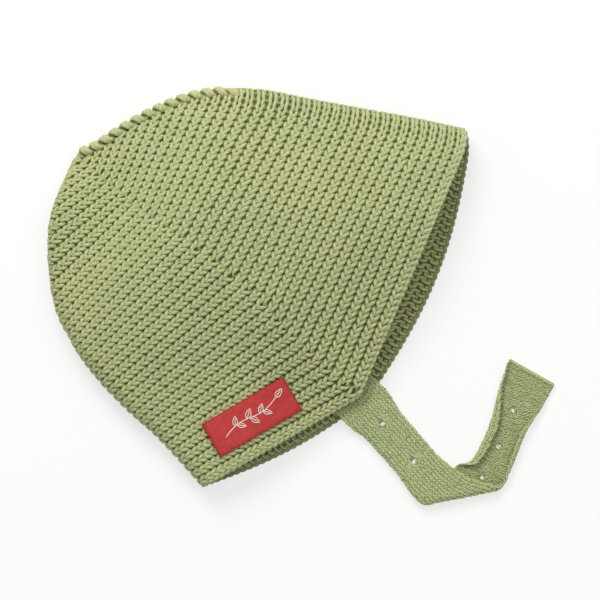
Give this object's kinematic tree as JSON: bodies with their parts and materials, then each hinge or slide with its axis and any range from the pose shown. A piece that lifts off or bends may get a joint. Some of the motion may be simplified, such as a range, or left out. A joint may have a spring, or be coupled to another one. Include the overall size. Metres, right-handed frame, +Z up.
{
  "type": "baby bonnet",
  "caption": "Knitted baby bonnet lying on its side: a hollow cap open at the face and nape, with a buttonholed chin strap folded over once and a small woven label.",
  "frame": {"origin": "middle of the whole bonnet's outline as it lies, on the surface it rests on", "axes": "+Z up from the surface, +X towards the face opening, +Y towards the top of the head"},
  "size_m": [0.2186, 0.18, 0.0306],
  "materials": {
    "knit": "matte cotton knit",
    "strap_knit": "matte fine cotton knit",
    "label_weave": "satin woven tape",
    "button_shell": "satin"
  },
  "bodies": {
    "root": {"cap": "knit", "strap": "strap_knit", "label": "label_weave", "button": "button_shell"}
  },
  "joints": []
}
